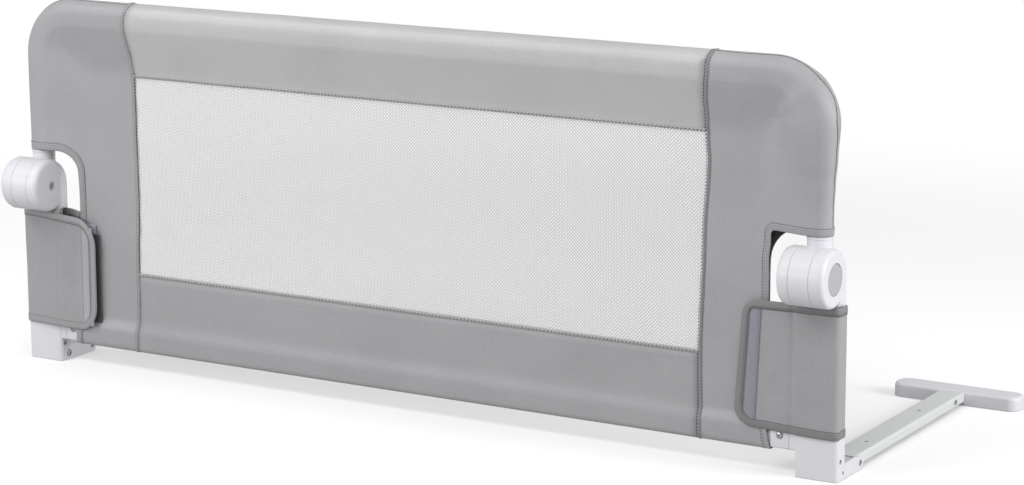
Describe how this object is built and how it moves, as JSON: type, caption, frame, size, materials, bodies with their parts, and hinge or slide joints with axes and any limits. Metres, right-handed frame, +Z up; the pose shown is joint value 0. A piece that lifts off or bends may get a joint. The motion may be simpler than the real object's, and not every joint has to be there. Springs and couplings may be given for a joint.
{
  "type": "folding bed guard rail",
  "caption": "Bed guard rail: cloth and net panel on a tube frame that folds down on push-button hubs, with feet and T-ended arms that go under a mattress.",
  "frame": {"origin": "middle of the rail's length and depth, on the surface that it stands on", "axes": "+X along the rail to its right end as seen from the front, +Y towards the bed, +Z up"},
  "size_m": [1.135, 0.4046, 0.419],
  "materials": {
    "white_plastic": "fine moulded satin",
    "button_plastic": "fine moulded matt",
    "lock_plastic": "plain moulded",
    "coated_steel": "pale grey powder coat",
    "plated_steel": "zinc plated",
    "grey_cloth": "woven polyester with a soft sheen",
    "pale_net": "fine knitted net",
    "fastener_tape": "hook and loop pile"
  },
  "bodies": {
    "frame": {"right_lower_knuckle": "white_plastic", "right_knuckle_cap": "white_plastic", "right_pivot_bolt": "plated_steel", "right_post": "coated_steel", "right_knuckle_pin": "plated_steel", "right_foot": "white_plastic", "right_foot_screw": "plated_steel", "right_arm_pin": "plated_steel", "right_lower_bar": "coated_steel", "right_bar_connector": "white_plastic", "right_connector_screw": "plated_steel", "right_cover_side_lower": "grey_cloth", "right_flap": "grey_cloth", "right_hook_tape": "fastener_tape", "right_loop_tape": "fastener_tape", "left_lower_knuckle": "white_plastic", "left_knuckle_cap": "white_plastic", "left_pivot_bolt": "plated_steel", "left_post": "coated_steel", "left_knuckle_pin": "plated_steel", "left_foot": "white_plastic", "left_foot_screw": "plated_steel", "left_arm_pin": "plated_steel", "left_lower_bar": "coated_steel", "left_bar_connector": "white_plastic", "left_connector_screw": "plated_steel", "left_cover_side_lower": "grey_cloth", "left_flap": "grey_cloth", "left_hook_tape": "fastener_tape", "left_loop_tape": "fastener_tape", "bar_joiner": "coated_steel", "cover_bottom_band": "grey_cloth", "net_lower": "pale_net"},
    "panel": {"right_upper_knuckle": "white_plastic", "right_lock_gear": "lock_plastic", "right_lock_spring": "plated_steel", "right_corner_tube": "coated_steel", "right_tube_pin": "plated_steel", "right_cover_side_upper": "grey_cloth", "left_upper_knuckle": "white_plastic", "left_lock_gear": "lock_plastic", "left_lock_spring": "plated_steel", "left_corner_tube": "coated_steel", "left_tube_pin": "plated_steel", "left_cover_side_upper": "grey_cloth", "top_joiner": "coated_steel", "cover_top_band": "grey_cloth", "net_upper": "pale_net"},
    "right_button": {"right_release_button": "button_plastic"},
    "right_arm": {"right_support_arm": "coated_steel", "right_t_foot": "white_plastic", "right_t_foot_rivet": "plated_steel"},
    "left_button": {"left_release_button": "button_plastic"},
    "left_arm": {"left_support_arm": "coated_steel", "left_t_foot": "white_plastic", "left_t_foot_rivet": "plated_steel"}
  },
  "joints": [
    {"name": "panel_fold", "type": "hinge", "parent": "frame", "child": "panel", "pos_m": [0, -0.17275, 0.2073], "axis": [1, 0, 0], "range_deg": [0, 180]},
    {"name": "right_button_press", "type": "slide", "parent": "frame", "child": "right_button", "axis": [-1, 0, 0], "range_m": [0, 0.004], "stiffness_N_per_m": 800, "springref_m": -0.002},
    {"name": "left_button_press", "type": "slide", "parent": "frame", "child": "left_button", "axis": [1, 0, 0], "range_m": [0, 0.004], "stiffness_N_per_m": 800, "springref_m": -0.002},
    {"name": "right_arm_fold", "type": "hinge", "parent": "frame", "child": "right_arm", "pos_m": [0, -0.10525, 0.007], "axis": [1, 0, 0], "range_deg": [0, 90]},
    {"name": "left_arm_fold", "type": "hinge", "parent": "frame", "child": "left_arm", "pos_m": [0, -0.10525, 0.007], "axis": [1, 0, 0], "range_deg": [0, 90]}
  ]
}
